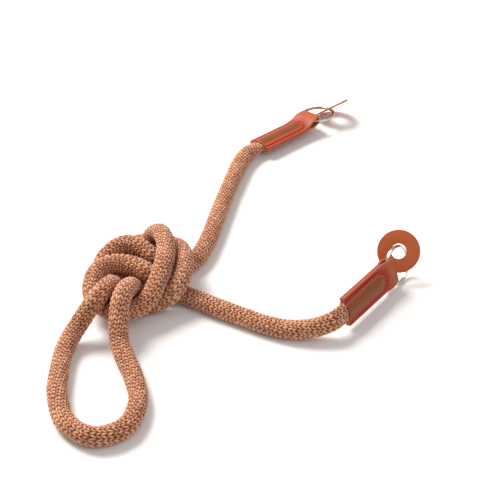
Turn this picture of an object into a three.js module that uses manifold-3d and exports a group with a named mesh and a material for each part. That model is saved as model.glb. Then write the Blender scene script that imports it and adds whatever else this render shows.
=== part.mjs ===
// A round rope strap, folded double and tied in one overhand knot that leaves a loop.
// Each end of the rope sits in a folded leather end, whose fold holds a split ring,
// and a round leather guard disc is threaded on each ring.
// Millimetres, +Z up. The strap lies on the plane z = 0.

import * as THREE from "three";
import { LoftGeometry } from "three/addons/geometries/LoftGeometry.js";
import { mergeVertices } from "three/addons/utils/BufferGeometryUtils.js";
import Module from "manifold-3d";

const wasm = await Module();
wasm.setup();

// Rope: 12.4 mm over the knitted stitches, 12 mm where strands press on each other in the knot.
const ROPE_DIAMETER = 12.4;
const ROPE_PRESSED = 0.97;
const ROPE_SIDES = 10;
const STEPS_PER_POINT = 2;
const ROPE_IN_LEATHER = 34;

// The rope's ends are pressed flat between the leathers, from this far before the mouth.
const PRESS_START = -16;
const PRESSED_HALF_WIDTH = 7.4;
const PRESSED_HALF_HEIGHT = 3.1;

// Leather end: one strip folded over the ring, with the rope's end between its two layers.
const LEATHER = 1.8;
const GAP = 0.3;
const END_LENGTH = 57;
const END_WIDTH = 19;
const FOLD_WIDTH = 16.4;
const MOUTH_HALF_HEIGHT = PRESSED_HALF_HEIGHT + GAP + LEATHER;

// Slot through the fold, where the ring turns.
const SLOT_START = 47.4;
const SLOT_END = 55.4;
const SLOT_MIDDLE = (SLOT_START + SLOT_END) / 2;
const SLOT_HEIGHT = 2.8;

// Split ring, with its middle this far from the mouth.
const RING_OUTER = 26;
const RING_BAND = 1.6;
const RING_THICKNESS = 1.8;
const RING_MIDDLE = 61.2;

// Guard disc, threaded on the ring by its hole.
const GUARD_DIAMETER = 28;
const GUARD_HOLE = 10;
const GUARD_THICKNESS = 1.5;

// Where each leather end lies: the middle of its mouth, its heading, its roll about its own axis and
// how far its fold is lifted. guardAt is the place of the guard round the ring, from the ring's far
// side, guardReach the distance of its middle from the ring's, and guardLean its turn out of the
// ring's plane. The near guard hangs on the top of its ring, and the far one leans on the surface.
const ENDS = {
  far: {
    mouth: [11.7, 133.6, 6.7],
    heading: 42.4,
    roll: -8,
    foldRise: 3.5,
    guardAt: 0,
    guardReach: 14.9,
    guardLean: -32,
  },
  near: {
    mouth: [64, -71.05, 12.75],
    heading: 53.4,
    roll: 72,
    foldRise: 0,
    guardAt: 58,
    guardReach: 8.9,
    guardLean: -55.6,
  },
};

// The middle of the box round the leathers, rings and guards, in the route's own coordinates.
const MIDDLE_X = 60.3;
const MIDDLE_Y = 61.8;

// The rope's centre line, from the end in the far leather to the end in the near one.
const FAR_STRETCH = [
  [36.8, 156.5, 6.7],
  [22, 143, 6.7],
  [12.4, 134.2, 6.7],
  [6.2, 127.8, 6.4],
  [0, 117, 6.2],
  [-5.5, 98, 6.2],
  [-11, 74, 6.2],
  [-16.8, 46, 6.2],
  [-22.5, 18, 6.2],
  [-28.5, -2, 6.2],
];
const FAR_STRAND_OVER = [
  [-38, -15.5, 6.6],
  [-48.5, -20, 10],
  [-58, -18.2, 16.4],
  [-67, -12, 20],
  [-75.5, -8.5, 20],
  [-83, -10.5, 18],
  [-89.9, -16.5, 13.2],
  [-93.2, -25, 8.2],
  [-94.6, -34.5, 6.3],
  [-93.6, -44, 6.2],
  [-88.5, -53, 6.2],
  [-79, -57.6, 6.2],
  [-68.5, -58, 6.2],
];
const FAR_STRAND_ROUND = [
  [-59, -56, 6.6],
  [-50.5, -55.2, 9.6],
  [-43, -53.4, 15.2],
  [-38.4, -45, 19.3],
  [-36.8, -33, 20.8],
  [-37.8, -21.5, 20.5],
  [-41, -9.5, 17.4],
  [-46, 1, 12],
  [-53, 9.5, 7.8],
  [-62, 13, 6.3],
  [-70.5, 10.5, 6.2],
  [-75.8, 1.5, 6.2],
  [-78, -9, 6.2],
  [-79.8, -20, 6.3],
  [-81.2, -31, 6.6],
  [-81.3, -41, 9.3],
  [-81.5, -49, 17],
  [-82.8, -58.5, 24],
  [-87, -69, 25.8],
  [-92.5, -76, 22],
  [-98.5, -81.5, 14.5],
  [-104, -88, 8.4],
];
const LOOP = [
  [-107.3, -99, 6.3],
  [-108.4, -116.6, 6.2],
  [-107.3, -140, 6.2],
  [-99.5, -163.5, 6.2],
  [-83, -175, 6.2],
  [-66, -167.5, 6.2],
  [-59.8, -146, 6.2],
  [-64, -124, 6.2],
  [-70, -107.5, 6.3],
];
const NEAR_STRAND_ROUND = [
  [-73.8, -96.5, 8.6],
  [-75, -89.5, 13.6],
  [-75.2, -83, 19.6],
  [-74.3, -75, 24.8],
  [-72, -66, 25.8],
  [-70, -57.5, 22.2],
  [-69.2, -49.8, 16],
  [-68.8, -41.6, 8.6],
  [-68, -29, 6.3],
  [-66.3, -16, 6.3],
  [-64.5, -4.5, 7.8],
  [-62.2, 2, 13.4],
  [-58.4, 2.8, 19.8],
  [-54.2, -2, 24.6],
  [-50.8, -11, 27],
  [-49, -21.5, 27.5],
  [-48.8, -32.5, 27.4],
  [-50.3, -44, 26],
  [-53.4, -54.8, 22.6],
  [-58.4, -63.8, 17.2],
  [-66.5, -69, 13.6],
  [-76.5, -70.8, 13],
  [-86, -66.8, 13.4],
];
const NEAR_STRAND_OVER = [
  [-93.4, -58.3, 16],
  [-94.4, -48, 18.8],
  [-92, -38, 20],
  [-86, -31.6, 20],
  [-78.2, -29.6, 19.6],
  [-69, -32, 19.2],
  [-60, -36.6, 17.6],
  [-50, -40.6, 11.2],
  [-40, -43.2, 6.4],
];
const NEAR_STRETCH = [
  [-29, -50, 6.3],
  [-15, -58.5, 6.2],
  [0, -67, 6.2],
  [15, -75.3, 6.2],
  [30, -80.6, 6.8],
  [44.6, -81.4, 8.8],
  [54, -79.4, 11.2],
  [60, -75.4, 12.5],
  [64.6, -70.2, 12.75],
  [72.4, -59.8, 12.75],
  [84.3, -43.7, 12.75],
];

const COLOURS = {
  rope: { color: 0xc98f6c, roughness: 0.95, metalness: 0 },
  leather: { color: 0x8c3d24, roughness: 0.55, metalness: 0 },
  guard: { color: 0xb4623a, roughness: 0.6, metalness: 0 },
  ring: { color: 0xd8d7d2, roughness: 0.25, metalness: 1 },
};

function material(name) {
  return new THREE.MeshStandardMaterial(COLOURS[name]);
}

function namedMesh(name, geometry, finish) {
  const mesh = new THREE.Mesh(geometry, material(finish));
  mesh.name = name;
  return mesh;
}

// A route whose steps follow the listed points, so that they lie closer where the rope turns.
class RopeRoute extends THREE.CatmullRomCurve3 {
  getPointAt(u, target) {
    return this.getPoint(u, target);
  }

  getTangentAt(u, target) {
    return this.getTangent(u, target);
  }
}

// A regular polygon, the rope's section.
function polygon(radius, sides) {
  const shape = new THREE.Shape();
  for (let i = 0; i < sides; i++) {
    const angle = (i / sides) * 2 * Math.PI;
    const x = radius * Math.cos(angle);
    const y = radius * Math.sin(angle);
    if (i === 0) shape.moveTo(x, y);
    else shape.lineTo(x, y);
  }
  shape.closePath();
  return shape;
}

// The frame of a leather end: its origin in the mouth, +X along its heading, rolled about that axis.
function endFrame({ mouth, heading, roll }) {
  const turn = new THREE.Matrix4().makeRotationZ(THREE.MathUtils.degToRad(heading));
  const lean = new THREE.Matrix4().makeRotationX(THREE.MathUtils.degToRad(roll));
  return new THREE.Matrix4().makeTranslation(...mouth).multiply(turn).multiply(lean);
}

// Presses the rope flat where it runs into a leather end.
function pressEnd(geometry, end) {
  const frame = endFrame(end);
  const inverse = frame.clone().invert();
  const radius = (ROPE_DIAMETER / 2) * ROPE_PRESSED;
  const position = geometry.attributes.position;
  const reach = 2 * ROPE_DIAMETER;
  const point = new THREE.Vector3();
  for (let i = 0; i < position.count; i++) {
    point.fromBufferAttribute(position, i).applyMatrix4(inverse);
    if (point.x < PRESS_START || Math.hypot(point.y, point.z) > reach) continue;
    const share = THREE.MathUtils.smoothstep(point.x, PRESS_START, 0);
    point.y *= THREE.MathUtils.lerp(1, PRESSED_HALF_WIDTH / radius, share);
    point.z *= THREE.MathUtils.lerp(1, PRESSED_HALF_HEIGHT / radius, share);
    point.applyMatrix4(frame);
    position.setXYZ(i, point.x, point.y, point.z);
  }
}

function ropeGeometry() {
  const points = [
    ...FAR_STRETCH,
    ...FAR_STRAND_OVER,
    ...FAR_STRAND_ROUND,
    ...LOOP,
    ...NEAR_STRAND_ROUND,
    ...NEAR_STRAND_OVER,
    ...NEAR_STRETCH,
  ].map(([x, y, z]) => new THREE.Vector3(x, y, z));
  const rope = new THREE.ExtrudeGeometry(polygon((ROPE_DIAMETER / 2) * ROPE_PRESSED, ROPE_SIDES), {
    extrudePath: new RopeRoute(points),
    steps: STEPS_PER_POINT * (points.length - 1),
    bevelEnabled: false,
  });
  pressEnd(rope, ENDS.far);
  pressEnd(rope, ENDS.near);
  return rope;
}

// A closed geometry as a manifold-3d solid.
function solid(geometry) {
  const bare = geometry.index ? geometry.toNonIndexed() : geometry.clone();
  bare.deleteAttribute("normal");
  bare.deleteAttribute("uv");
  const merged = mergeVertices(bare, 1e-4);
  return new wasm.Manifold(
    new wasm.Mesh({
      numProp: 3,
      vertProperties: merged.attributes.position.array,
      triVerts: new Uint32Array(merged.index.array),
    }),
  );
}

// A solid back as a geometry that three.js draws.
function geometryOf(body) {
  const mesh = body.getMesh();
  const geometry = new THREE.BufferGeometry();
  geometry.setAttribute("position", new THREE.BufferAttribute(new Float32Array(mesh.vertProperties), 3));
  geometry.setIndex(new THREE.BufferAttribute(new Uint32Array(mesh.triVerts), 1));
  geometry.computeVertexNormals();
  return geometry;
}

// Sections of the leather end, from the mouth to the fold: distance from the mouth, half the width,
// the half-thickness over the middle and at the sewn edge.
const SLEEVE = [
  { at: 0, half: END_WIDTH / 2, middle: MOUTH_HALF_HEIGHT, edge: LEATHER },
  { at: 17, half: END_WIDTH / 2, middle: MOUTH_HALF_HEIGHT, edge: LEATHER },
  { at: 34, half: END_WIDTH / 2, middle: MOUTH_HALF_HEIGHT, edge: LEATHER },
  { at: 37, half: END_WIDTH / 2, middle: 4.6, edge: LEATHER },
  { at: 41, half: 9.5, middle: 3.5, edge: LEATHER },
  { at: 44, half: 9.5, middle: 3.2, edge: 2.2 },
  { at: 47, half: 9.4, middle: 3.2, edge: 2.8 },
  { at: 51, half: 9, middle: 3.2, edge: 3 },
  { at: 54, half: FOLD_WIDTH / 2, middle: 3, edge: 2.8 },
  { at: 56, half: 7.2, middle: 2, edge: 1.8 },
  { at: END_LENGTH, half: 5.6, middle: 0.7, edge: 0.6 },
];
const SLEEVE_COLUMNS = 10;

// One section as a ring of points: the top face from edge to edge, then the bottom face back.
// Both faces follow a cosine arch from the sewn edges up over the rope.
function sleeveSection({ at, half, middle, edge }, lift) {
  const face = [];
  for (let i = 0; i <= SLEEVE_COLUMNS; i++) {
    const across = 1 - (2 * i) / SLEEVE_COLUMNS;
    const arch = Math.cos((across * Math.PI) / 2);
    face.push([across * half, edge + (middle - edge) * arch]);
  }
  const top = face.map(([y, z]) => new THREE.Vector3(at, y, lift + z));
  const bottom = face.map(([y, z]) => new THREE.Vector3(at, y, lift - z)).reverse();
  return [...top, ...bottom];
}

// How far the fold's middle plane is lifted above the rope's axis, easing in behind the rope's end.
function foldLift(at, rise) {
  return rise * THREE.MathUtils.smoothstep(at, ROPE_IN_LEATHER, END_LENGTH);
}

function leatherEndGeometry(rise) {
  const sections = SLEEVE.map((row) => sleeveSection(row, foldLift(row.at, rise)));
  const outside = new LoftGeometry(sections, { capStart: true, capEnd: true });

  const before = 4;
  const pocketLength = before + ROPE_IN_LEATHER + GAP;
  const pocket = new THREE.CylinderGeometry(1, 1, pocketLength, 20);
  pocket.rotateZ(Math.PI / 2);
  pocket.scale(1, PRESSED_HALF_WIDTH + GAP, PRESSED_HALF_HEIGHT + GAP);
  pocket.translate(pocketLength / 2 - before, 0, 0);

  const slot = new THREE.Shape();
  const radius = SLOT_HEIGHT / 2;
  slot.absarc(SLOT_END - radius, 0, radius, -Math.PI / 2, Math.PI / 2, false);
  slot.absarc(SLOT_START + radius, 0, radius, Math.PI / 2, (3 * Math.PI) / 2, false);
  const slotTool = new THREE.ExtrudeGeometry(slot, {
    depth: END_WIDTH + 4,
    steps: 1,
    curveSegments: 4,
    bevelEnabled: false,
  });
  slotTool.translate(0, 0, -END_WIDTH / 2 - 2);
  slotTool.rotateX(Math.PI / 2);
  slotTool.translate(0, 0, foldLift(SLOT_MIDDLE, rise));

  return geometryOf(solid(outside).subtract(solid(pocket)).subtract(solid(slotTool)));
}

// A flat band turned round the ring's axis, with its corners cut.
function splitRingGeometry() {
  const outer = RING_OUTER / 2;
  const inner = outer - RING_BAND;
  const half = RING_THICKNESS / 2;
  const cut = 0.4;
  const profile = [
    [inner, -half + cut],
    [inner + cut, -half],
    [outer - cut, -half],
    [outer, -half + cut],
    [outer, half - cut],
    [outer - cut, half],
    [inner + cut, half],
    [inner, half - cut],
    [inner, -half + cut],
  ].map(([x, y]) => new THREE.Vector2(x, y));
  const ring = new THREE.LatheGeometry(profile, 32);
  ring.rotateX(Math.PI / 2);
  return ring;
}

function guardGeometry() {
  const disc = new THREE.Shape();
  disc.absarc(0, 0, GUARD_DIAMETER / 2, 0, 2 * Math.PI, false);
  const hole = new THREE.Path();
  hole.absarc(0, 0, GUARD_HOLE / 2, 0, 2 * Math.PI, true);
  disc.holes.push(hole);
  const guard = new THREE.ExtrudeGeometry(disc, {
    depth: GUARD_THICKNESS,
    steps: 1,
    curveSegments: 28,
    bevelEnabled: false,
  });
  guard.translate(0, 0, -GUARD_THICKNESS / 2);
  return guard;
}

// One end of the strap: its leather, ring and guard.
function strapEnd(name, end) {
  const rolled = new THREE.Group();
  rolled.applyMatrix4(endFrame(end));
  rolled.add(namedMesh(name + "_leather_end", leatherEndGeometry(end.foldRise), "leather"));

  const threaded = new THREE.Group();
  threaded.position.set(RING_MIDDLE, 0, foldLift(SLOT_MIDDLE, end.foldRise));
  threaded.rotation.z = THREE.MathUtils.degToRad(end.guardAt);
  threaded.add(namedMesh(name + "_split_ring", splitRingGeometry(), "ring"));
  rolled.add(threaded);

  const guard = namedMesh(name + "_guard_disc", guardGeometry(), "guard");
  guard.position.x = end.guardReach;
  guard.rotation.x = THREE.MathUtils.degToRad(end.guardLean);
  threaded.add(guard);
  return rolled;
}

const strap = new THREE.Group();
strap.position.set(-MIDDLE_X, -MIDDLE_Y, 0);
strap.add(namedMesh("strap_rope", ropeGeometry(), "rope"));
strap.add(strapEnd("far", ENDS.far));
strap.add(strapEnd("near", ENDS.near));

export default strap;
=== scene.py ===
"""A knitted cotton rope strap, folded double and tied in one overhand knot, on a pale floor.

Each end of the rope is sewn into a folded leather end. A split ring sits in each fold, and a round
leather guard disc is threaded on each ring. Lengths are in millimetres, apart from those of the
studio, and become Blender's metres where they are handed to it. Angles are in degrees, apart from
the rates and starts of waves, which are in radians.
"""

import bpy
import numpy as np
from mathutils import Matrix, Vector


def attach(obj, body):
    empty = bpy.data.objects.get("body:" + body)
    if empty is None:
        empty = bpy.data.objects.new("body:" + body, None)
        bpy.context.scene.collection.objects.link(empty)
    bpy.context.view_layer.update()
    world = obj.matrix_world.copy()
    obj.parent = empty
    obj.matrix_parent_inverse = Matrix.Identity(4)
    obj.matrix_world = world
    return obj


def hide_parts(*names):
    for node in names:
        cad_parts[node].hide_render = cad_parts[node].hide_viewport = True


# Rope: its thickness over the stitches. Each column of the knit holds stitches that slant one way.
ROPE_DIAMETER = 12.4
STITCH_COLUMNS = 20
STITCH_LENGTH = 2.8
STITCH_SLANT = 0.7
ROWS_PER_STITCH = 5
POINTS_PER_COLUMN = 2
GROOVE_DEPTH = 0.65
TWIST_LENGTH = 190.0

# Powers of the two sines that round a stitch off, along the rope and across the column.
ROUND_ALONG = 0.6
ROUND_ACROSS = 0.2

# Unevenness of the knit. Courses drift along by a share of a stitch, in waves whose rate wanders.
# Stitches stand high or low in waves of their number, which steps up along and across.
COURSE_DRIFT = 0.13
DRIFT_RATE = 1.9
DRIFT_WANDER = 2.0
DRIFT_WANDER_RATE = 0.23
STITCH_SPREAD = 0.09
STEP_ALONG = 2.4
STEP_ACROSS = 1.7
STEP_WANDER = 3.0
STEP_WANDER_RATE = 0.37

# Slow waves of the rope's thickness: depth, length of rope to a radian, and start.
SLACK = [(0.10, 23.0, 0.0), (0.08, 9.7, 1.0)]

# Points of the centre line: in each span of the route, and on the whole line.
SPAN_POINTS = 24
LINE_POINTS = 6000

# Rope in the leather: pressed flat from PRESS_START before the mouth.
ROPE_IN_LEATHER = 34.0
PRESS_START = -16.0
PRESSED_HALF_WIDTH = 6.7
PRESSED_HALF_HEIGHT = 3.05

# Leather end: a strip folded over the ring, narrower from TAPER_START and rounded off at the fold.
LEATHER = 1.8
LAYER_GAP = 0.06
END_WIDTH = 19.0
TAPER_START = 46.0
FOLD_TURN = 54.0
FOLD_HALF_WIDTH = 8.2
FOLD_ROUNDING = 2.8
FOLD_INSIDE = 1.4
OPENING_START = 42.0
OPENING_END = 49.0
FOLD_LIFT_END = 57.0
SLOT_MIDDLE = 51.4
EDGE_BULGE = 0.45

# The strip's dome over the rope: how far its foot lies past the seam, its air and its roundness.
DOME_FOOT = 0.2
DOME_AIR = 0.1
DOME_ROUNDNESS = 0.6

# The strip's grid: rows a millimetre apart as far as EVEN_END, then closer ones from CLOSE_START.
EVEN_END = 45.0
CLOSE_START = 45.8
CLOSE_ROWS = 11
FOLD_ROWS = 17
STRIP_COLUMNS = 49
EDGE_POINTS = 5

# Seam: its distance from the middle line, where it turns back, its groove, pitch and thread.
SEAM_REACH = 7.2
SEAM_START = 1.6
SEAM_TURN = 35.5
SEAM_TURN_STRETCH = 1.15
SEAM_GROOVE = 0.3
SEAM_GROOVE_WIDTH = 0.6
SEAM_PITCH = 2.9
SEAM_STITCH = 2.2
SEAM_POINTS = 60
THREAD = 1.25

# One stitch of the seam: its grid, how far its ends dip and it sinks in, and where it is cut short.
BEAD_ROWS = 7
BEAD_SIDES = 6
BEAD_DIP = 1.5
BEAD_SINK = 0.1
BEAD_END = 0.98

# Split ring: its middle from the mouth, its radius at mid wire, and its two turns of flat wire.
RING_MIDDLE = 61.2
RING_RADIUS = 12.2
RING_BAND = 1.6
RING_TURN = 0.86
RING_SLIT = 0.05
RING_START = 215.0
RING_JOG = 26.0
RING_END_GAP = 3.0
RING_ROWS = 240
WIRE_ROUNDING = 0.22

# Guard disc.
GUARD_DIAMETER = 28.0
GUARD_HOLE = 10.0
GUARD_THICKNESS = 1.5
GUARD_ROUNDING = 0.35
GUARD_CORNER_POINTS = 4
GUARD_STEPS = 96

# Patterns of the finishes, by the size of one spot, pore or fibre.
FIBRE_LENGTH = 0.875
FIBRE_WIDTH = 0.203
COTTON_PATCH = 16.7
LEATHER_PORE = 0.714
LEATHER_GRAIN = 0.526
STRIP_CLOUD = 11.1
GUARD_CLOUD = 8.33
STEEL_WEAR = 1.43
THREAD_TWIST = 0.667
PAPER_TOOTH = 1.11

# Depth of the relief that the finishes add.
COTTON_RELIEF = 0.6
LEATHER_RELIEF = 0.3
THREAD_RELIEF = 0.2

# Tone of the knit: powers of the two sines that make a stitch's crown, and the shares of the crown,
# of the stitch's own tone, of its fibres and of the patches. The crown's share is painted highlight
# and shade: pale on the crowns of the stitches, dark in the gaps between them.
CROWN_ALONG = 0.85
CROWN_ACROSS = 0.38
CROWN_LIGHT_AND_SHADE_SHARE = 0.62
OWN_SHARE = 0.2
FIBRE_SHARE = 0.25
PATCH_SHARE = 0.2

# The strip's colours run between two distances from its seam, and the painted highlight on its cut
# edge fades out over a distance from the edge. Slow noise shifts them, and the guard's, by up to so
# much.
SEAM_INSIDE = -3.0
SEAM_OUTSIDE = 5.0
CUT_EDGE_HIGHLIGHT = 0.7
STRIP_SHIFT = 1.2
GUARD_SHIFT = 0.8

# The frame's origin in the route's own coordinates.
ORIGIN = np.array([60.3, 61.8, 0.0])

# Camera: its place in the route's coordinates, how far it looks down, and its lens.
CAMERA_PLACE = (5.0, -745.0, 550.0)
CAMERA_DOWN = 36.0
CAMERA_LENS = 100.0

# Studio, in metres and watts: one large soft light from behind on the left, and a wide fill. Then
# where they aim, the world's strength, half the floor's side and how far the camera sees.
LIGHTS = {
    "key": {"place": (-0.9, 0.7, 1.3), "size": 0.9, "watts": 44.0, "colour": "#FFFDFA"},
    "fill": {"place": (0.9, -0.9, 1.2), "size": 1.4, "watts": 7.0, "colour": "#F8FAFF"},
}
LIGHT_TARGET = (-0.05, -0.02, 0.0)
WORLD_STRENGTH = 0.46
FLOOR_HALF = 6.0
VIEW_END = 20.0

# Where each leather end lies: the middle of its mouth, its heading, its roll and how far its fold
# is lifted. The guard is threaded on the ring at guard_at round it, reaches out by guard_reach and
# leans out of the ring's plane by guard_lean.
ENDS = {
    "far": {
        "mouth": (11.7, 133.6, 6.7),
        "heading": 42.4,
        "roll": -8.0,
        "rise": 3.5,
        "guard_at": 0.0,
        "guard_reach": 14.9,
        "guard_lean": -32.0,
    },
    "near": {
        "mouth": (64.0, -71.05, 12.75),
        "heading": 53.4,
        "roll": 72.0,
        "rise": 0.0,
        "guard_at": 58.0,
        "guard_reach": 8.9,
        "guard_lean": -55.6,
    },
}

# The rope's centre line, from the end in the far leather to the end in the near one.
ROUTE = [
    (36.8, 156.5, 6.7), (22, 143, 6.7), (12.4, 134.2, 6.7), (6.2, 127.8, 6.4), (0, 117, 6.2),
    (-5.5, 98, 6.2), (-11, 74, 6.2), (-16.8, 46, 6.2), (-22.5, 18, 6.2), (-28.5, -2, 6.2),
    (-38, -15.5, 6.6), (-48.5, -20, 10), (-58, -18.2, 16.4), (-67, -12, 20), (-75.5, -8.5, 20),
    (-83, -10.5, 18), (-89.9, -16.5, 13.2), (-93.2, -25, 8.2), (-94.6, -34.5, 6.3),
    (-93.6, -44, 6.2), (-88.5, -53, 6.2), (-79, -57.6, 6.2), (-68.5, -58, 6.2), (-59, -56, 6.6),
    (-50.5, -55.2, 9.6), (-43, -53.4, 15.2), (-38.4, -45, 19.3), (-36.8, -33, 20.8),
    (-37.8, -21.5, 20.5), (-41, -9.5, 17.4), (-46, 1, 12), (-53, 9.5, 7.8), (-62, 13, 6.3),
    (-70.5, 10.5, 6.2), (-75.8, 1.5, 6.2), (-78, -9, 6.2), (-79.8, -20, 6.3), (-81.2, -31, 6.6),
    (-81.3, -41, 9.3), (-81.5, -49, 17), (-82.8, -58.5, 24), (-87, -69, 25.8), (-92.5, -76, 22),
    (-98.5, -81.5, 14.5), (-104, -88, 8.4), (-107.3, -99, 6.3), (-108.4, -116.6, 6.2),
    (-107.3, -140, 6.2), (-99.5, -163.5, 6.2), (-83, -175, 6.2), (-66, -167.5, 6.2),
    (-59.8, -146, 6.2), (-64, -124, 6.2), (-70, -107.5, 6.3), (-73.8, -96.5, 8.6),
    (-75, -89.5, 13.6), (-75.2, -83, 19.6), (-74.3, -75, 24.8), (-72, -66, 25.8),
    (-70, -57.5, 22.2), (-69.2, -49.8, 16), (-68.8, -41.6, 8.6), (-68, -29, 6.3), (-66.3, -16, 6.3),
    (-64.5, -4.5, 7.8), (-62.2, 2, 13.4), (-58.4, 2.8, 19.8), (-54.2, -2, 24.6), (-50.8, -11, 27),
    (-49, -21.5, 27.5), (-48.8, -32.5, 27.4), (-50.3, -44, 26), (-53.4, -54.8, 22.6),
    (-58.4, -63.8, 17.2), (-66.5, -69, 13.6), (-76.5, -70.8, 13), (-86, -66.8, 13.4),
    (-93.4, -58.3, 16), (-94.4, -48, 18.8), (-92, -38, 20), (-86, -31.6, 20), (-78.2, -29.6, 19.6),
    (-69, -32, 19.2), (-60, -36.6, 17.6), (-50, -40.6, 11.2), (-40, -43.2, 6.4), (-29, -50, 6.3),
    (-15, -58.5, 6.2), (0, -67, 6.2), (15, -75.3, 6.2), (30, -80.6, 6.8), (44.6, -81.4, 8.8),
    (54, -79.4, 11.2), (60, -75.4, 12.5), (64.6, -70.2, 12.75), (72.4, -59.8, 12.75),
    (84.3, -43.7, 12.75),
]


def metres(points):
    """Millimetres in the route's coordinates to metres in the part's frame."""
    return (np.asarray(points, float) - ORIGIN) / 1000.0


def per_metre(size):
    """How many cells of a pattern go in a metre, as a texture's Scale counts them."""
    return 1000.0 / size


def smoothstep(x, low, high):
    """0 up to low, 1 from high, and 3t^2 - 2t^3 between them."""
    t = np.clip((np.asarray(x, float) - low) / (high - low), 0.0, 1.0)
    return t * t * (3.0 - 2.0 * t)


def unit(v):
    """Each row at length 1."""
    return v / np.linalg.norm(v, axis=-1, keepdims=True)


def run_along(points):
    """How far each point of a line lies along it: the running sum of its steps."""
    return np.concatenate([[0], np.cumsum(np.linalg.norm(np.diff(points, axis=0), axis=1))])


def interpolated(at, run, points):
    """Points of a line at any distances along it, straight between its own points."""
    return np.stack([np.interp(at, run, points[:, i]) for i in range(points.shape[1])], -1)


def linear(hex_colour):
    """An sRGB hex colour as linear RGBA."""
    s = np.array([int(hex_colour[i : i + 2], 16) for i in (1, 3, 5)]) / 255.0
    rgb = np.where(s <= 0.04045, s / 12.92, ((s + 0.055) / 1.055) ** 2.4)
    return (*map(float, rgb), 1.0)


# Meshes


def new_object(name, data):
    """An object in the scene, at the origin."""
    thing = bpy.data.objects.new(name, data)
    bpy.context.scene.collection.objects.link(thing)
    return thing


def smooth_object(name, points, faces):
    """An object with smooth shading, from points in millimetres and lists of their numbers."""
    mesh = bpy.data.meshes.new(name)
    mesh.from_pydata(metres(points.reshape(-1, 3)).tolist(), [], faces)
    mesh.polygons.foreach_set("use_smooth", [True] * len(mesh.polygons))
    mesh.update()
    return new_object(name, mesh)


def cell_corners(grid):
    """The four corners of each cell of a grid, in turn round the cell."""
    return np.stack([grid[:-1, :-1], grid[:-1, 1:], grid[1:, 1:], grid[1:, :-1]], 2)


def grid_object(name, rows, uv=None, close_rows=False, caps=False):
    """A mesh of quads over a grid of points, shape (rows, columns, 3) in millimetres.

    Faces join each point to the next one in its row and in its column. Each row closes on itself,
    close_rows joins the last row to the first, and caps closes the first and the last row with one
    face each.
    """
    count, around, _ = rows.shape
    index = np.arange(count * around).reshape(count, around)
    if close_rows:
        index = np.vstack([index, index[:1]])
    index = np.hstack([index, index[:, :1]])
    faces = cell_corners(index).reshape(-1, 4).tolist()
    if caps:
        faces.append(index[0, :around][::-1].tolist())
        faces.append(index[-1, :around].tolist())
    thing = smooth_object(name, rows, faces)
    if uv is not None:
        flat = cell_corners(uv).reshape(-1, 2)
        layer = thing.data.uv_layers.new(name="surface")
        data = np.zeros((len(thing.data.loops), 2))
        data[: len(flat)] = flat
        layer.data.foreach_set("uv", data.ravel())
    return thing


def joined_tubes(name, grids):
    """Many closed tubes in one mesh: points of shape (tubes, rows, columns, 3)."""
    tubes, rows, columns, _ = grids.shape
    index = np.arange(rows * columns).reshape(rows, columns)
    index = np.hstack([index, index[:, :1]])
    shift = (np.arange(tubes) * rows * columns)[:, None, None]
    faces = (cell_corners(index).reshape(-1, 4)[None] + shift).reshape(-1, 4).tolist()
    start = np.arange(columns)[::-1][None] + shift[:, 0]
    finish = (np.arange(columns) + (rows - 1) * columns)[None] + shift[:, 0]
    faces += start.tolist() + finish.tolist()
    return smooth_object(name, grids, faces)


# The rope's route


def centripetal(points, per_span):
    """A centripetal Catmull-Rom curve through the points, as three.js makes it.

    Each span's share of the parameter is the square root of the distance between its two points,
    and the span is a cubic Hermite with tangents from its neighbours.
    """
    p = np.asarray(points, float)
    first = 2 * p[0] - p[1]
    last = 2 * p[-1] - p[-2]
    p = np.vstack([first, p, last])
    gap = np.sum(np.diff(p, axis=0) ** 2, axis=1) ** 0.25
    p0, p1, p2, p3 = p[:-3], p[1:-2], p[2:-1], p[3:]
    d0, d1, d2 = (gap[i : len(gap) - 2 + i, None] for i in range(3))
    t1 = ((p1 - p0) / d0 - (p2 - p0) / (d0 + d1) + (p2 - p1) / d1) * d1
    t2 = ((p2 - p1) / d1 - (p3 - p1) / (d1 + d2) + (p3 - p2) / d2) * d1
    t = np.linspace(0, 1, per_span, endpoint=False)[None, :, None]
    a, b, c, d = p1[:, None], t1[:, None], p2[:, None], t2[:, None]
    curve = a + b * t + (3 * (c - a) - 2 * b - d) * t**2 + (2 * (a - c) + b + d) * t**3
    return np.vstack([curve.reshape(-1, 3), p[-2]])


def evenly(points, count):
    """The same line with its points at equal steps, and its length."""
    run = run_along(points)
    return interpolated(np.linspace(0, run[-1], count), run, points), run[-1]


def carried_frames(line):
    """Tangents, and sides that turn as little as they can along the line.

    Each side is the last one with its part along the new tangent taken away.
    """
    tangents = unit(np.gradient(line, axis=0))
    sides = np.empty_like(tangents)
    side = np.cross(tangents[0], (0, 0, 1))
    for i, tangent in enumerate(tangents):
        side = side - tangent * side.dot(tangent)
        side = side / np.linalg.norm(side)
        sides[i] = side
    return tangents, sides


# The frames of the leather ends


def end_frame(end):
    """Origin in the mouth, and rows that are the heading, the left side and the face's normal."""
    heading, roll = np.radians(end["heading"]), np.radians(end["roll"])
    along = np.array([np.cos(heading), np.sin(heading), 0.0])
    left = np.array([-np.sin(heading), np.cos(heading), 0.0])
    up = np.array([0.0, 0.0, 1.0])
    side = np.cos(roll) * left + np.sin(roll) * up
    face = -np.sin(roll) * left + np.cos(roll) * up
    return np.array(end["mouth"]), np.stack([along, side, face])


def placed(end, local):
    """Points of a leather end's own frame, in the route's frame."""
    origin, rows = end_frame(end)
    return origin + np.asarray(local, float) @ rows


def fold_lift(end, at):
    """How far the fold's middle plane lies above the rope's axis, at a distance from the mouth."""
    return end["rise"] * smoothstep(at, ROPE_IN_LEATHER, FOLD_LIFT_END)


# The rope


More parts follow.
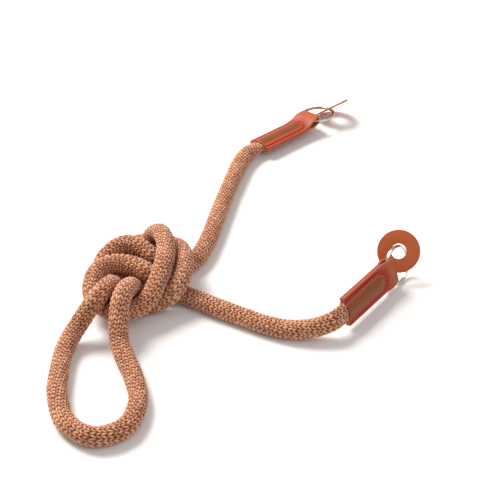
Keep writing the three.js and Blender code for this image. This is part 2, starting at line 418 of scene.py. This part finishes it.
def pressed(points, end):
    """The rope's points, drawn to the flat oval that it has between the leathers.

    Past PRESS_START each point's place across and above the rope's axis is scaled, by a share that
    grows from 0 to 1 up to the mouth.
    """
    origin, rows = end_frame(end)
    local = (points - origin) @ rows.T
    off_axis = np.hypot(local[..., 1], local[..., 2])
    near = (local[..., 0] > PRESS_START) & (off_axis < 2 * ROPE_DIAMETER)
    share = smoothstep(local[..., 0], PRESS_START, 0) * near
    radius = ROPE_DIAMETER / 2
    local[..., 1] *= 1 + share * (PRESSED_HALF_WIDTH / radius - 1)
    local[..., 2] *= 1 + share * (PRESSED_HALF_HEIGHT / radius - 1)
    return np.where(near[..., None], origin + local @ rows, points)


def knitted_rope():
    """A tube of knitted stitches, its centre line and its length.

    Around the rope run STITCH_COLUMNS columns. In each one the stitches slant, to the left and to
    the right in turn, which makes a chevron of each pair: a point lies ahead by the slant times its
    place across the column. Its radius is the rope's radius less the grooves round the stitch: its
    height over them is |sin(pi t)| to the power ROUND_ALONG times |sin(pi x)| to the power
    ROUND_ACROSS, for t counted in stitches and x in columns. Courses crowd and spread by
    COURSE_DRIFT times a sine, and each stitch lies a little high or low, by a sine of its number.
    The rope swells and thins by the two sines of SLACK, and the columns wind round it once in
    TWIST_LENGTH. The UV map counts stitches and columns.
    """
    line, length = evenly(centripetal(ROUTE, SPAN_POINTS), LINE_POINTS)
    tangents, sides = carried_frames(line)
    run = np.linspace(0, length, len(line))

    stitches = round(length / STITCH_LENGTH)
    step = (np.arange(stitches * ROWS_PER_STITCH + 1) / ROWS_PER_STITCH)[:, None]
    column = np.arange(STITCH_COLUMNS * POINTS_PER_COLUMN) / POINTS_PER_COLUMN
    x = column % 1.0
    slant = np.where(np.floor(column) % 2 == 0, 1.0, -1.0) * STITCH_SLANT * (x - 0.5)
    ends_ease = np.clip(np.minimum(step, stitches - step), 0, 1)
    wander = DRIFT_WANDER * np.sin(DRIFT_WANDER_RATE * step + column)
    drift = COURSE_DRIFT * np.sin(DRIFT_RATE * step + wander)
    at = (step + (slant + drift) * ends_ease) * (length / stitches)

    centre = interpolated(at, run, line)
    tangent = unit(interpolated(at, run, tangents))
    side = unit(interpolated(at, run, sides))
    other = np.cross(tangent, side)

    height = np.sin(np.pi * x) ** ROUND_ACROSS * np.abs(np.sin(np.pi * step)) ** ROUND_ALONG
    number = np.floor(step) * STEP_ALONG + np.floor(column) * STEP_ACROSS
    spread = np.sin(number + STEP_WANDER * np.sin(number * STEP_WANDER_RATE))
    slack = sum(depth * np.sin(at / reach + start) for depth, reach, start in SLACK)
    grooves = GROOVE_DEPTH * (1 - height)
    radius = ROPE_DIAMETER / 2 - grooves + STITCH_SPREAD * spread * height + slack
    angle = 2 * np.pi * (column / STITCH_COLUMNS + at / TWIST_LENGTH)
    ring = np.cos(angle)[..., None] * side + np.sin(angle)[..., None] * other
    points = centre + radius[..., None] * ring
    for end in ENDS.values():
        points = pressed(points, end)

    uv = np.stack(np.broadcast_arrays(step, np.append(column, STITCH_COLUMNS)), -1)
    rope = grid_object("strap_rope_knit", points, uv=uv, caps=True)
    return rope, line, length


# The leather ends


def rope_distance(along, across):
    """How far a place on the strip is from the line of the rope under it.

    It is the distance across the strip as far as SEAM_TURN, and past it the distance from that
    point, with the part along the strip divided by SEAM_TURN_STRETCH.
    """
    past = np.maximum(along - SEAM_TURN, 0) / SEAM_TURN_STRETCH
    return np.hypot(past, across)


def inner_height(along, across):
    """Height of the strip's inner face over the middle plane.

    Over the rope it is a dome, (1 + cos(pi d / foot)) / 2 to the power DOME_ROUNDNESS, of the
    rope's half-thickness, for the distance d from its line. Towards the fold it opens for the ring.
    """
    foot = SEAM_REACH + DOME_FOOT
    d = np.minimum(rope_distance(along, across), foot)
    dome = ((1 + np.cos(np.pi * d / foot)) / 2) ** DOME_ROUNDNESS
    opening = FOLD_INSIDE * smoothstep(along, OPENING_START, OPENING_END)
    return LAYER_GAP + (PRESSED_HALF_HEIGHT + DOME_AIR) * dome + opening


def outer_height(along, across):
    """Height of the outer face: the leather's thickness over the inner one, less a groove along
    the seam whose depth follows exp(-(d / width)^2)."""
    d = rope_distance(along, across) - SEAM_REACH
    groove = SEAM_GROOVE * np.exp(-((d / SEAM_GROOVE_WIDTH) ** 2))
    return inner_height(along, across) + LEATHER - groove


def strip_faces(end, columns):
    """The strip's inner and outer face, from one edge of the mouth round the fold to the other.

    Above and below the middle plane the faces follow the two heights, and from TAPER_START the
    strip narrows by the square of the way to the fold. At the fold they turn half round about one
    line, while the width shrinks by the square of the turn's sine, which rounds the corners off.
    """
    even = np.linspace(0, EVEN_END, round(EVEN_END) + 1)
    along = np.concatenate([even, np.linspace(CLOSE_START, FOLD_TURN, CLOSE_ROWS)])
    taper = ((along - TAPER_START).clip(0) / (FOLD_TURN - TAPER_START)) ** 2
    half = END_WIDTH / 2 - (END_WIDTH / 2 - FOLD_HALF_WIDTH) * taper
    across = columns * half[:, None]
    ahead = np.broadcast_to(along[:, None], across.shape)
    turn = np.linspace(0, np.pi, FOLD_ROWS + 2)[1:-1, None]
    fold_across = columns * (FOLD_HALF_WIDTH - FOLD_ROUNDING * np.sin(turn) ** 2)
    faces = []
    for height in (inner_height(ahead, across), outer_height(ahead, across)):
        top = np.stack([ahead, across, height], -1)
        radius = height[-1]
        fold_ahead = FOLD_TURN + radius * np.sin(turn)
        fold = np.stack([fold_ahead, fold_across, radius * np.cos(turn)], -1)
        face = np.concatenate([top, fold, top[::-1] * (1, 1, -1)])
        face[..., 2] += fold_lift(end, face[..., 0])
        faces.append(face)
    return faces


def leather_end(name, end):
    """One strip of leather, folded over the ring.

    Its section is a long loop, carried along the strip: outer face, rounded edge, inner face and
    rounded edge. Its UV map holds two distances in millimetres: from the seam, and from the edge.
    """
    inner, outer = strip_faces(end, np.linspace(-1, 1, STRIP_COLUMNS))
    part = np.linspace(0, np.pi, EDGE_POINTS + 2)[1:-1]
    share = ((1 - np.cos(part)) / 2)[None, :, None]
    bulge = EDGE_BULGE * np.sin(part)[None, :, None] * np.array([0.0, 1.0, 0.0])
    left = outer[:, -1:] + (inner[:, -1:] - outer[:, -1:]) * share + bulge
    right = inner[:, :1] + (outer[:, :1] - inner[:, :1]) * share - bulge
    loop = np.concatenate([outer, left, inner[:, ::-1], right], 1)[:, ::-1]
    ahead, across = loop[..., 0], loop[..., 1]
    half = outer[:, -1, 1]
    uv = np.stack([rope_distance(ahead, across) - SEAM_REACH, half[:, None] - np.abs(across)], -1)
    uv = np.concatenate([uv, uv[:, :1]], 1)
    return grid_object(name, placed(end, loop), uv=uv, caps=True)


def seam_path():
    """The seam: along one edge from the mouth, half round past the rope's end, and back."""
    ahead = np.linspace(SEAM_START, SEAM_TURN, SEAM_POINTS)
    out = np.stack([ahead, np.full(SEAM_POINTS, SEAM_REACH)], 1)
    angle = np.linspace(np.pi / 2, -np.pi / 2, SEAM_POINTS)[1:-1]
    turn_ahead = SEAM_TURN + SEAM_TURN_STRETCH * SEAM_REACH * np.cos(angle)
    turn = np.stack([turn_ahead, SEAM_REACH * np.sin(angle)], 1)
    return np.vstack([out, turn, out[::-1] * (1, -1)])


def seam(name, end, face):
    """Stitches of waxed thread, each a short bead that dips at its ends.

    They lie on the strip's upper face for a face of 1 and on its lower one for -1. Along a stitch,
    for t from -1 to 1, the thread's middle rises by 1 - BEAD_DIP |t|^3 of its radius, and its
    thickness follows the square root of 1 - (BEAD_END t)^4.
    """
    path = seam_path()
    run = run_along(path)
    count = int(run[-1] // SEAM_PITCH)
    middles = (np.arange(count) + 0.5) * run[-1] / count
    t = np.linspace(-1, 1, BEAD_ROWS)
    flat = interpolated(middles[:, None] + t * SEAM_STITCH / 2, run, path)
    rise = THREAD / 2 * (1.0 - BEAD_DIP * np.abs(t) ** 3)
    height = outer_height(flat[..., 0], flat[..., 1]) + rise - BEAD_SINK
    centre = np.stack([flat[..., 0], flat[..., 1], face * height], -1)
    centre[..., 2] += fold_lift(end, centre[..., 0])
    tangent = unit(np.gradient(centre, axis=1))
    side = unit(np.cross(np.array([0.0, 0.0, float(face)]), tangent))
    lift = np.cross(tangent, side)
    angle = np.linspace(0, 2 * np.pi, BEAD_SIDES, endpoint=False)[:, None]
    ring = np.cos(angle) * side[:, :, None] + np.sin(angle) * lift[:, :, None]
    thick = THREAD / 2 * np.sqrt(1 - (BEAD_END * t) ** 4)
    beads = centre[:, :, None] + thick[:, None, None] * ring
    return joined_tubes(name, placed(end, beads))


# Ring and guard


def rounded_rectangle(width, height, radius, per_corner=3):
    """A rectangle's outline with round corners, counterclockwise."""
    angle = np.linspace(0, np.pi / 2, per_corner)
    corners = []
    for i, (sx, sy) in enumerate([(1, 1), (-1, 1), (-1, -1), (1, -1)]):
        turn = angle + i * np.pi / 2
        middle = np.array([sx * (width / 2 - radius), sy * (height / 2 - radius)])
        corners.append(middle + radius * np.stack([np.cos(turn), np.sin(turn)], 1))
    return np.vstack(corners)


def split_ring(name, end):
    """Two turns of flat wire, side by side, that cross from one side to the other in a short jog.

    The wire's section, a rectangle with round corners, runs round the ring's middle from one end to
    the other, which both lie at the jog.
    """
    jog, gap = np.radians(RING_JOG), np.radians(RING_END_GAP)
    angle = np.linspace(jog / 2 + gap, 4 * np.pi - jog / 2 - gap, RING_ROWS)[:, None]
    side = smoothstep(angle, 2 * np.pi - jog / 2, 2 * np.pi + jog / 2) - 0.5
    section = rounded_rectangle(RING_BAND, RING_TURN, WIRE_ROUNDING)
    start = np.radians(RING_START)
    radius = RING_RADIUS + section[:, 0]
    x = RING_MIDDLE + radius * np.cos(angle + start)
    y = radius * np.sin(angle + start)
    z = side * (RING_TURN + RING_SLIT) + section[:, 1] + fold_lift(end, SLOT_MIDDLE)
    return grid_object(name, placed(end, np.stack([x, y, z], -1))[:, ::-1], caps=True)


def guard_disc(name, end):
    """A flat round of leather with a hole, threaded on the ring.

    The outline of its section, with rounded edges, is turned about its axis. The disc then leans
    about its own x axis, moves out by guard_reach and turns with the ring's plane to guard_at. Its
    UV map holds the length round it and the distance from its outer edge, in millimetres.
    """
    inner, outer = GUARD_HOLE / 2, GUARD_DIAMETER / 2
    section = rounded_rectangle(outer - inner, GUARD_THICKNESS, GUARD_ROUNDING, GUARD_CORNER_POINTS)
    out = section[:, 0] + (outer + inner) / 2
    turns = np.linspace(0, 2 * np.pi, GUARD_STEPS + 1)[:, None]
    angle = turns[:-1]
    lean, at = np.radians(end["guard_lean"]), np.radians(end["guard_at"])
    x, y, z = end["guard_reach"] + out * np.cos(angle), out * np.sin(angle), section[:, 1]
    y, z = y * np.cos(lean) - z * np.sin(lean), y * np.sin(lean) + z * np.cos(lean)
    x, y = x * np.cos(at) - y * np.sin(at), x * np.sin(at) + y * np.cos(at)
    points = np.stack([x + RING_MIDDLE, y, z + fold_lift(end, SLOT_MIDDLE)], -1)[:, ::-1]

    edge = outer - np.append(out[::-1], out[-1])
    uv = np.stack(np.broadcast_arrays(outer * turns, edge), -1)
    return grid_object(name, placed(end, points), uv=uv, close_rows=True)


# Materials


def add(tree, kind, inputs=None, stops=(), **settings):
    """One node with its settings, its colour stops, and each input set or linked.

    kind is a node's type, or the name of one that is there already. An input's value may be a
    number or colour, a socket, or a node, whose first output it takes. A colour ramp starts with
    two stops, and gets one more for each further colour.
    """
    node = tree.nodes.get(kind) or tree.nodes.new(kind)
    for key, value in settings.items():
        setattr(node, key, value)
    for _ in stops[2:]:
        node.color_ramp.elements.new(0.5)
    for i, (place, colour) in enumerate(stops):
        node.color_ramp.elements[i].position = place
        node.color_ramp.elements[i].color = linear(colour)
    for key, value in (inputs or {}).items():
        if isinstance(value, bpy.types.Node):
            value = value.outputs[0]
        if isinstance(value, bpy.types.NodeSocket):
            tree.links.new(value, node.inputs[key])
        else:
            node.inputs[key].default_value = value
    return node


def finish_named(name):
    """A new material and its node tree."""
    made = bpy.data.materials.new(name)
    made.use_nodes = True
    return made, made.node_tree


def knitted_cotton():
    """Cotton yarn, dyed and then knitted: matt and a little fuzzy. Painted highlight and shade make
    the crowns of the stitches pale and the gaps between them dark, and each stitch has a tone of its
    own.

    The crown is |sin(pi u)| to the power CROWN_ALONG times |sin(pi v)| to the power CROWN_ACROSS,
    for u counted in stitches and v in columns in the rope's own UV map. The tone adds its share to
    those of three noises: one value for each stitch, fibres drawn out along it, and large soft
    patches. The fibres are drawn coarser than real cotton's, so that they show.
    """
    made, tree = finish_named("knitted_cotton")
    uv = add(tree, "ShaderNodeUVMap", uv_map="surface")
    split = add(tree, "ShaderNodeSeparateXYZ", {"Vector": uv})
    waves = []
    for socket in split.outputs[:2]:
        angle = add(tree, "ShaderNodeMath", {0: socket, 1: np.pi}, operation="MULTIPLY")
        wave = add(tree, "ShaderNodeMath", {0: angle}, operation="SINE")
        waves.append(add(tree, "ShaderNodeMath", {0: wave}, operation="ABSOLUTE"))
    along = add(tree, "ShaderNodeMath", {0: waves[0], 1: CROWN_ALONG}, operation="POWER")
    across = add(tree, "ShaderNodeMath", {0: waves[1], 1: CROWN_ACROSS}, operation="POWER")
    crown = add(tree, "ShaderNodeMath", {0: along, 1: across}, operation="MULTIPLY")

    stitch = add(tree, "ShaderNodeVectorMath", {0: uv}, operation="FLOOR")
    own_tone = add(tree, "ShaderNodeTexWhiteNoise", {"Vector": stitch})
    column_width = np.pi * ROPE_DIAMETER / STITCH_COLUMNS
    fibres = (STITCH_LENGTH / FIBRE_LENGTH, column_width / FIBRE_WIDTH, 1.0)
    strands = add(tree, "ShaderNodeVectorMath", {0: uv, 1: fibres}, operation="MULTIPLY")
    fibre = add(tree, "ShaderNodeTexNoise", {"Vector": strands, "Scale": 1.0, "Detail": 3.0})
    coords = add(tree, "ShaderNodeTexCoord").outputs["Object"]
    patches = {"Vector": coords, "Scale": per_metre(COTTON_PATCH), "Detail": 2.0}
    patch = add(tree, "ShaderNodeTexNoise", patches)

    # Painted light and shade: the crown's share makes each stitch's crown pale and the gaps dark.
    tone = add(tree, "ShaderNodeMath", {0: crown, 1: CROWN_LIGHT_AND_SHADE_SHARE}, operation="MULTIPLY")
    for part, share in ((own_tone, OWN_SHARE), (fibre, FIBRE_SHARE), (patch, PATCH_SHARE)):
        tone = add(tree, "ShaderNodeMath", {0: part, 1: share, 2: tone}, operation="MULTIPLY_ADD")
    # The pale end of the ramp is mostly painted highlight on the crowns, the dark end painted shade
    # in the gaps.
    stops = [(0.3, "#35170C"), (0.5, "#8E4E34"), (0.74, "#C0825F"), (0.96, "#E4B08D")]
    colour = add(tree, "ShaderNodeValToRGB", {"Fac": tone}, stops)
    height = add(tree, "ShaderNodeMath", {0: fibre, 1: 0.35, 2: crown}, operation="MULTIPLY_ADD")
    relief = {"Strength": 0.7, "Distance": COTTON_RELIEF / 1000.0, "Height": height}
    bump = add(tree, "ShaderNodeBump", relief)
    look = {"Base Color": colour, "Normal": bump, "Roughness": 0.92, "Specular IOR Level": 0.2}
    add(tree, "Principled BSDF", look | {"Sheen Weight": 0.2, "Sheen Roughness": 0.5})
    return made


def leather_surface(tree, colour, roughness):
    """Waxed grain leather over a colour: pores about 0.7 mm apart, drawn a little coarser than the
    real ones so that they show, and a low gloss that breaks up over them."""
    coords = add(tree, "ShaderNodeTexCoord").outputs["Object"]
    pores = add(tree, "ShaderNodeTexVoronoi", {"Vector": coords, "Scale": per_metre(LEATHER_PORE)})
    grain = {"Vector": coords, "Scale": per_metre(LEATHER_GRAIN), "Detail": 2.0}
    fine = add(tree, "ShaderNodeTexNoise", grain)
    rough = add(tree, "ShaderNodeMath", {0: fine, 1: 0.2, 2: roughness}, operation="MULTIPLY_ADD")
    height = add(tree, "ShaderNodeMath", {0: fine, 1: 0.6, 2: pores}, operation="MULTIPLY_ADD")
    relief = {"Strength": 0.22, "Distance": LEATHER_RELIEF / 1000.0, "Height": height}
    bump = add(tree, "ShaderNodeBump", relief)
    look = {"Base Color": colour, "Roughness": rough, "Normal": bump, "IOR": 1.48}
    add(tree, "Principled BSDF", look | {"Specular IOR Level": 0.35})


def waxed_strip_leather():
    """Vegetable-tanned cowhide, dyed through and waxed. The borders outside the seam are burnished
    red and the seam's groove is dark. Just inside the seam runs a pale painted highlight along the
    edge of the dome over the rope, and a painted highlight makes the cut edge paler.

    Its UV map gives the distance from the seam and from the edge in millimetres. The first, with
    slow noise added, picks the colour, and the second mixes in the cut edge's painted highlight.
    """
    made, tree = finish_named("waxed_strip_leather")
    uv = add(tree, "ShaderNodeUVMap", uv_map="surface")
    split = add(tree, "ShaderNodeSeparateXYZ", {"Vector": uv})
    coords = add(tree, "ShaderNodeTexCoord").outputs["Object"]
    clouds = {"Vector": coords, "Scale": per_metre(STRIP_CLOUD), "Detail": 3.0}
    cloud = add(tree, "ShaderNodeTexNoise", clouds)
    shifted = {0: cloud, 1: STRIP_SHIFT, 2: split.outputs["X"]}
    from_seam = add(tree, "ShaderNodeMath", shifted, operation="MULTIPLY_ADD")
    band = {"Value": from_seam, "From Min": SEAM_INSIDE, "From Max": SEAM_OUTSIDE}
    place = add(tree, "ShaderNodeMapRange", band)
    # The pale stop at 0.31, just inside the seam, is a painted highlight along the edge of the dome
    # over the rope.
    stops = [
        (0.12, "#84441F"), (0.31, "#AA6238"), (0.38, "#7A160C"), (0.48, "#8A1C10"),
        (0.6, "#8E2814"), (0.72, "#962E17"), (0.98, "#A44C23"),
    ]
    face = add(tree, "ShaderNodeValToRGB", {"Fac": place}, stops)
    # Painted highlight: the cut edge's paler colour is mixed in over the last stretch to the edge.
    cut = {"Value": split.outputs["Y"], "From Min": CUT_EDGE_HIGHLIGHT, "From Max": 0.0}
    edge_highlight = add(tree, "ShaderNodeMapRange", cut)
    # A Mix node for colours takes its factor at input 0 and its two colours at 6 and 7.
    mix = {0: edge_highlight, 6: face.outputs[0], 7: linear("#A85638")}
    colour = add(tree, "ShaderNodeMix", mix, data_type="RGBA").outputs[2]
    leather_surface(tree, colour, 0.42)
    return made


def waxed_guard_leather():
    """The same hide, dyed lighter and left smooth, with a pale painted highlight on its cut edge all
    round.

    Its UV map gives the distance from the outer edge in millimetres, which picks the colour after
    slow noise is added.
    """
    made, tree = finish_named("waxed_guard_leather")
    uv = add(tree, "ShaderNodeUVMap", uv_map="surface")
    split = add(tree, "ShaderNodeSeparateXYZ", {"Vector": uv})
    coords = add(tree, "ShaderNodeTexCoord").outputs["Object"]
    clouds = {"Vector": coords, "Scale": per_metre(GUARD_CLOUD), "Detail": 3.0}
    cloud = add(tree, "ShaderNodeTexNoise", clouds)
    shifted = {0: cloud, 1: GUARD_SHIFT, 2: split.outputs["Y"]}
    from_edge = add(tree, "ShaderNodeMath", shifted, operation="MULTIPLY_ADD")
    # The pale first stop is a painted highlight on the outer cut edge.
    stops = [(0.2, "#D08A63"), (0.45, "#BC6236"), (0.9, "#B6592E")]
    colour = add(tree, "ShaderNodeValToRGB", {"Fac": from_edge}, stops)
    leather_surface(tree, colour, 0.46)
    return made


def nickelled_steel():
    """Spring steel with nickel plating, tumbled: bright, with duller spots where it has worn."""
    made, tree = finish_named("nickelled_steel")
    coords = add(tree, "ShaderNodeTexCoord").outputs["Object"]
    spots = {"Vector": coords, "Scale": per_metre(STEEL_WEAR), "Detail": 3.0}
    wear = add(tree, "ShaderNodeTexNoise", spots)
    colour = add(tree, "ShaderNodeValToRGB", {"Fac": wear}, [(0.35, "#B4B0A6"), (0.65, "#D6D3CB")])
    rough = add(tree, "ShaderNodeMath", {0: wear, 1: 0.2, 2: 0.1}, operation="MULTIPLY_ADD")
    add(tree, "Principled BSDF", {"Base Color": colour, "Roughness": rough, "Metallic": 1.0})
    return made


def waxed_thread():
    """Twisted polyester sewing thread in red, waxed: a slight gloss over its twist."""
    made, tree = finish_named("waxed_thread")
    coords = add(tree, "ShaderNodeTexCoord").outputs["Object"]
    turns = {"Vector": coords, "Scale": per_metre(THREAD_TWIST), "Detail": 1.0}
    twist = add(tree, "ShaderNodeTexNoise", turns)
    colour = add(tree, "ShaderNodeValToRGB", {"Fac": twist}, [(0.3, "#BC140E"), (0.7, "#EC281C")])
    relief = {"Strength": 0.5, "Distance": THREAD_RELIEF / 1000.0, "Height": twist}
    bump = add(tree, "ShaderNodeBump", relief)
    add(tree, "Principled BSDF", {"Base Color": colour, "Normal": bump, "Roughness": 0.5})
    return made


def matt_paper():
    """A seamless sheet of matt white paper with a faint tooth, drawn coarser than the real one."""
    made, tree = finish_named("matt_paper")
    coords = add(tree, "ShaderNodeTexCoord").outputs["Object"]
    grain = {"Vector": coords, "Scale": per_metre(PAPER_TOOTH), "Detail": 2.0}
    tooth = add(tree, "ShaderNodeTexNoise", grain)
    colour = add(tree, "ShaderNodeValToRGB", {"Fac": tooth}, [(0.3, "#F4F2EF"), (0.7, "#F8F6F4")])
    look = {"Base Color": colour, "Roughness": 0.9, "Specular IOR Level": 0.1}
    add(tree, "Principled BSDF", look)
    return made


# The studio


def studio_camera():
    """The photograph's view: from in front and above, looking down."""
    data = bpy.data.cameras.new("camera")
    data.lens = CAMERA_LENS
    data.clip_end = VIEW_END
    camera = new_object("camera", data)
    camera.location = metres(CAMERA_PLACE)
    camera.rotation_euler = (np.radians(90 - CAMERA_DOWN), 0, 0)
    bpy.context.scene.camera = camera


def soft_light(name, place, size, watts, colour):
    """A square area light, turned to the strap."""
    data = bpy.data.lights.new(name, "AREA")
    data.size = size
    data.energy = watts
    data.color = linear(colour)[:3]
    light = new_object(name, data)
    light.location = place
    aim = Vector(LIGHT_TARGET) - Vector(place)
    light.rotation_euler = aim.to_track_quat("-Z", "Y").to_euler()


def studio():
    """A plain floor, an even white world and the soft lights."""
    corners = [(x * FLOOR_HALF, y * FLOOR_HALF, 0) for x, y in ((-1, -1), (1, -1), (1, 1), (-1, 1))]
    mesh = bpy.data.meshes.new("floor")
    mesh.from_pydata(corners, [], [(0, 1, 2, 3)])
    mesh.materials.append(matt_paper())
    new_object("floor", mesh)

    world = bpy.data.worlds.new("studio")
    world.use_nodes = True
    add(world.node_tree, "Background", {"Color": linear("#FFFFFF"), "Strength": WORLD_STRENGTH})
    bpy.context.scene.world = world
    for name, light in LIGHTS.items():
        soft_light(name, **light)
    bpy.context.scene.view_settings.view_transform = "Standard"


def dress(piece, finish, slot, *nodes):
    """Gives a piece its material, and lets it stand for CAD nodes. The slot is not used."""
    piece.data.materials.append(finish)
    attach(piece, "root")
    if nodes:
        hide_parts(*nodes)


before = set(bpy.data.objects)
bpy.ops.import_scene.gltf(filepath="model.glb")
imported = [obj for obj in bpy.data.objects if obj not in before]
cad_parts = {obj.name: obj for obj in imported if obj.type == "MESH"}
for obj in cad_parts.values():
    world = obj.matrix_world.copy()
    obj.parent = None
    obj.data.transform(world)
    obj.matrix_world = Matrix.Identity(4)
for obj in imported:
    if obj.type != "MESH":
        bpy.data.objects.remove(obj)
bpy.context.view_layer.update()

studio_camera()

rope, rope_line, rope_length = knitted_rope()
dress(rope, knitted_cotton(), "rope", "strap_rope")

strap_leather = waxed_strip_leather()
guard_leather = waxed_guard_leather()
steel = nickelled_steel()
thread = waxed_thread()
for side, end in ENDS.items():
    dress(leather_end(side + "_leather_strip", end), strap_leather, "leather", side + "_leather_end")
    dress(seam(side + "_seam_top", end, 1), thread, "leather")
    dress(seam(side + "_seam_back", end, -1), thread, "leather")
    dress(split_ring(side + "_ring_wire", end), steel, "ring", side + "_split_ring")
    dress(guard_disc(side + "_guard_round", end), guard_leather, "guard", side + "_guard_disc")

studio()
